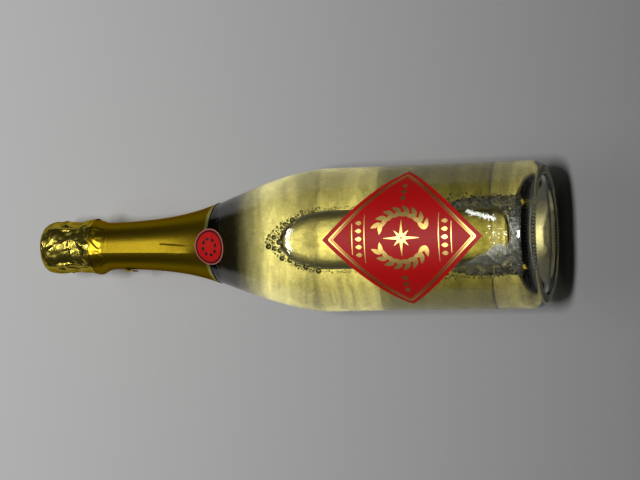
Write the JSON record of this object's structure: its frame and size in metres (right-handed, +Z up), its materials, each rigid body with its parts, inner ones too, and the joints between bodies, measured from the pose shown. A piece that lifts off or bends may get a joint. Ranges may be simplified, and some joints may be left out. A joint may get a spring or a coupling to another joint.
{
  "type": "sparkling wine bottle",
  "caption": "Filled sparkling wine bottle of pale green glass with a punt, mushroom cork under a wire cage, gold foil capsule, diamond front label and round neck seal.",
  "frame": {"origin": "centre of the foot ring, on the plane that the bottle stands on", "axes": "+Z up along the bottle's axis towards the cork, -Y towards the viewer of the front label"},
  "size_m": [0.087, 0.0882, 0.3231],
  "materials": {
    "bottle_glass": "clear pale yellow-green, polished",
    "wine": "clear straw-gold liquid",
    "agglomerate_cork": "granular, matt",
    "natural_cork": "fine-pored, matt",
    "cap_lacquer": "gold lacquer",
    "cage_wire": "bright drawn wire",
    "gold_foil": "satin gold lacquer, crinkled over the cage",
    "label_paper": "coated red paper with gold foil lines",
    "back_label_paper": "uncoated pale paper",
    "seal_paper": "coated red paper with dark ring"
  },
  "bodies": {
    "bottle": {"glass_bottle": "bottle_glass", "wine": "wine", "foil_skirt": "gold_foil", "front_label": "label_paper", "back_label": "back_label_paper", "neck_seal": "seal_paper"},
    "cork": {"cork_body": "agglomerate_cork", "cork_disc_upper": "natural_cork", "cork_disc_lower": "natural_cork"},
    "wire_cage": {"cage_cap": "cap_lacquer", "cage_top_ring": "cage_wire", "cage_leg_1": "cage_wire", "cage_leg_2": "cage_wire", "cage_leg_3": "cage_wire", "cage_leg_4": "cage_wire", "cage_belt": "cage_wire", "twist_loop": "cage_wire"},
    "hood": {"foil_hood": "gold_foil", "foil_top_disc": "gold_foil"},
    "tab": {"tear_tab": "gold_foil"}
  },
  "joints": [
    {"name": "cork_pull", "type": "slide", "parent": "bottle", "child": "cork", "axis": [0, 0, 1], "range_m": [0, 0.045], "deforming": ["cage_belt"]},
    {"name": "cage_lift", "type": "slide", "parent": "cork", "child": "wire_cage", "axis": [0, 0, 1], "range_m": [0, 0.045], "deforming": ["cage_belt"]},
    {"name": "hood_lift", "type": "slide", "parent": "wire_cage", "child": "hood", "axis": [0, 0, 1], "range_m": [0, 0.05]},
    {"name": "tab_lift", "type": "hinge", "parent": "bottle", "child": "tab", "pos_m": [-0.01592, 0, 0.2682], "axis": [0, 1, 0], "range_deg": [0, 110]}
  ]
}
